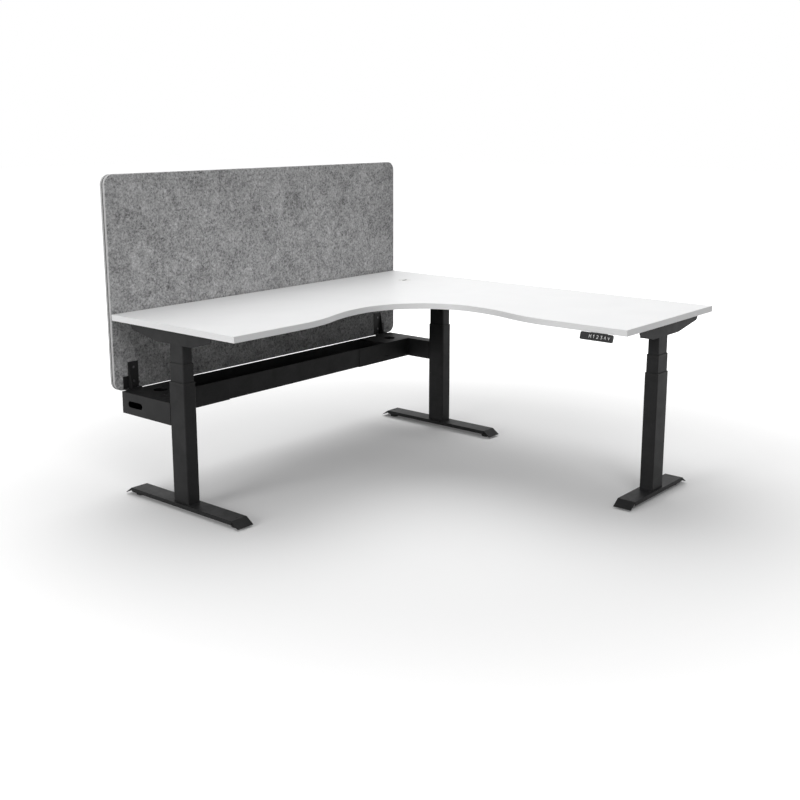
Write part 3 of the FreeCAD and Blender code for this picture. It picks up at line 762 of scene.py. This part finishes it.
def rays_to_eye(tree):
    """1 for what the camera sees, straight, reflected or through glass, and 0 for light that bounces."""
    rays = tree.nodes.new("ShaderNodeLightPath").outputs
    seen = arithmetic(tree, "MAXIMUM", rays["Is Camera Ray"], rays["Is Glossy Ray"])
    return arithmetic(tree, "MAXIMUM", seen, rays["Is Transmission Ray"])


def make_floor_finish():
    """A pale floor that keeps the shadow and turns white to the camera further away."""
    material, tree, surface = start_material("pale_floor")
    tree.nodes.remove(surface)
    seen = rays_to_eye(tree)
    tone = blend_colours(tree, seen, grey(FLOOR_BOUNCE_TONE), grey(FLOOR_TONE))
    diffuse = put(tree, "ShaderNodeBsdfDiffuse", Color=tone)
    fade = put(
        tree, "ShaderNodeMapRange", Value=vector_measure(tree, "LENGTH", object_place(tree)),
        From_Min=FLOOR_FADE_START, From_Max=FLOOR_FADE_END, To_Min=FLOOR_GLOW, To_Max=FLOOR_FAR_GLOW,
    )
    fade.interpolation_type = "SMOOTHSTEP"
    strength = times(tree, seen, fade.outputs["Result"])
    glow = put(tree, "ShaderNodeEmission", Color=grey(1.0), Strength=strength)
    both = tree.nodes.new("ShaderNodeAddShader")
    tree.links.new(diffuse.outputs["BSDF"], both.inputs[0])
    tree.links.new(glow.outputs["Emission"], both.inputs[1])
    tree.links.new(both.outputs["Shader"], tree.nodes["Material Output"].inputs["Surface"])
    return material


def make_floor():
    """A flat square at height 0, with the desk's footprint at its middle."""
    half = FLOOR_SIZE / 2
    corners = [(-half, -half, 0.0), (half, -half, 0.0), (half, half, 0.0), (-half, half, 0.0)]
    mesh = bpy.data.meshes.new("floor")
    mesh.from_pydata(corners, [], [(0, 1, 2, 3)])
    mesh.materials.append(make_floor_finish())
    floor = bpy.data.objects.new("floor", mesh)
    bpy.context.scene.collection.objects.link(floor)


def make_world():
    """Even studio surround: white where it is seen, softer where it lights the desk."""
    world = bpy.data.worlds.new("studio")
    bpy.context.scene.world = world
    world.use_nodes = True
    tree = world.node_tree
    extra = times(tree, rays_to_eye(tree), 1.0 - WORLD_LIGHT)
    fill(tree, tree.nodes["Background"], Color=grey(1.0), Strength=plus(tree, extra, WORLD_LIGHT))


def add_area_light(name, place, target, size, power):
    light = bpy.data.lights.new(name, "AREA")
    light.shape = "DISK"
    light.size = size
    light.energy = power
    lamp = bpy.data.objects.new(name, light)
    bpy.context.scene.collection.objects.link(lamp)
    lamp.location = place
    lamp.rotation_euler = (Vector(target) - Vector(place)).to_track_quat("-Z", "Y").to_euler()


def light_stage():
    for lamp in LAMPS:
        add_area_light(*lamp)


def aim_camera():
    data = bpy.data.cameras.new("camera")
    data.sensor_width = SENSOR_WIDTH_MM
    data.lens = FOCAL_PIXELS * SENSOR_WIDTH_MM / PICTURE_SIZE
    data.shift_y = PICTURE_AXIS_ROW / PICTURE_SIZE - 0.5
    data.clip_end = CAMERA_REACH
    camera = bpy.data.objects.new("camera", data)
    bpy.context.scene.collection.objects.link(camera)
    camera.location = CAMERA_PLACE
    camera.rotation_euler = (math.radians(90.0 - CAMERA_PITCH), 0.0, math.radians(-CAMERA_HEADING))
    bpy.context.scene.camera = camera


paint_nodes()
dress_screen()
dress_handset()
make_floor()
make_world()
light_stage()
aim_camera()
bpy.context.scene.view_settings.view_transform = "Standard"
